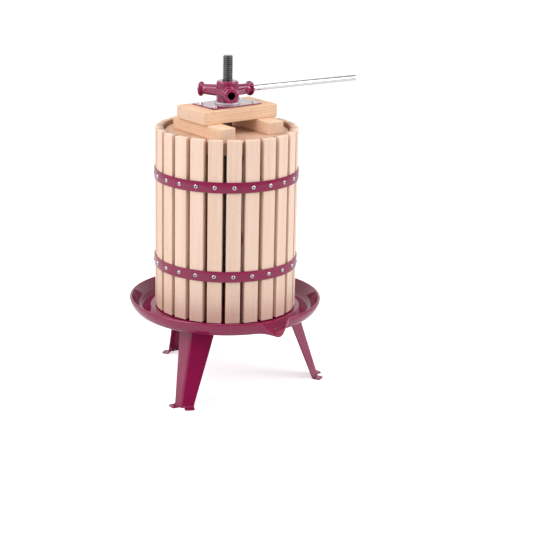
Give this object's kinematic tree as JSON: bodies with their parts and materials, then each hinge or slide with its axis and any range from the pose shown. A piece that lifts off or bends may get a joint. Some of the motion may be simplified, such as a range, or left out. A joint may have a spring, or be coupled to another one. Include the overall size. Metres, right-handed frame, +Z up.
{
  "type": "fruit press",
  "caption": "Hand fruit press: slatted wooden basket with steel hoops on a legged painted tray with a spout, threaded spindle, wooden press boards and a crank nut turned by a loose bar.",
  "frame": {"origin": "on the floor, under the axis of the spindle", "axes": "+Z up along the spindle; +X along the top block, to the side the bar points to at rest; -Y to the front, between the two front legs, with the spout a little to its left"},
  "size_m": [0.5276, 0.4112, 0.663],
  "materials": {
    "stave_wood": "planed beech",
    "head_wood": "planed beech",
    "paint": "gloss paint",
    "bright_steel": "zinc plated",
    "spindle_steel": "rolled thread",
    "chrome": "bright"
  },
  "bodies": {
    "base": {"tray": "paint", "leg_front_left": "paint", "leg_front_right": "paint", "leg_back": "paint", "leg_bolts": "bright_steel", "leg_washers": "bright_steel", "leg_nuts": "bright_steel", "spindle": "spindle_steel", "spindle_upper_nut": "bright_steel", "spindle_lower_nut": "bright_steel", "spindle_washers": "bright_steel", "support_plate": "paint"},
    "basket": {"stave_01": "stave_wood", "stave_02": "stave_wood", "stave_03": "stave_wood", "stave_04": "stave_wood", "stave_05": "stave_wood", "stave_06": "stave_wood", "stave_07": "stave_wood", "stave_08": "stave_wood", "stave_09": "stave_wood", "stave_10": "stave_wood", "stave_11": "stave_wood", "stave_12": "stave_wood", "stave_13": "stave_wood", "stave_14": "stave_wood", "stave_15": "stave_wood", "stave_16": "stave_wood", "stave_17": "stave_wood", "stave_18": "stave_wood", "stave_19": "stave_wood", "stave_20": "stave_wood", "stave_21": "stave_wood", "stave_22": "stave_wood", "stave_23": "stave_wood", "stave_24": "stave_wood", "upper_hoop": "paint", "lower_hoop": "paint", "upper_hoop_screws": "bright_steel", "lower_hoop_screws": "bright_steel"},
    "press_head": {"press_board_front": "head_wood", "press_board_back": "head_wood", "beam_left": "head_wood", "beam_right": "head_wood", "top_block": "head_wood", "pressure_plate": "paint", "plate_screws": "bright_steel", "thrust_washer": "bright_steel"},
    "crank": {"crank_hub": "paint"},
    "bar": {"crank_bar": "chrome"}
  },
  "joints": [
    {"name": "basket_turn", "type": "hinge", "parent": "base", "child": "basket", "pos_m": [0, 0, 0.16], "axis": [0, 0, 1], "continuous": true},
    {"name": "press_travel", "type": "slide", "parent": "base", "child": "press_head", "axis": [0, 0, 1], "range_m": [-0.05, 0.04]},
    {"name": "crank_turn", "type": "hinge", "parent": "press_head", "child": "crank", "pos_m": [0, 0, 0.593], "axis": [0, 0, 1], "range_deg": [-4500, 3600]},
    {"name": "bar_slide", "type": "slide", "parent": "crank", "child": "bar", "axis": [0.9991, 0.0384, -0.0187], "range_m": [0, 0.06]}
  ],
  "couplings": [
    {"joint": "press_travel", "follows": "crank_turn", "m_per_rad": 0.00063661}
  ]
}
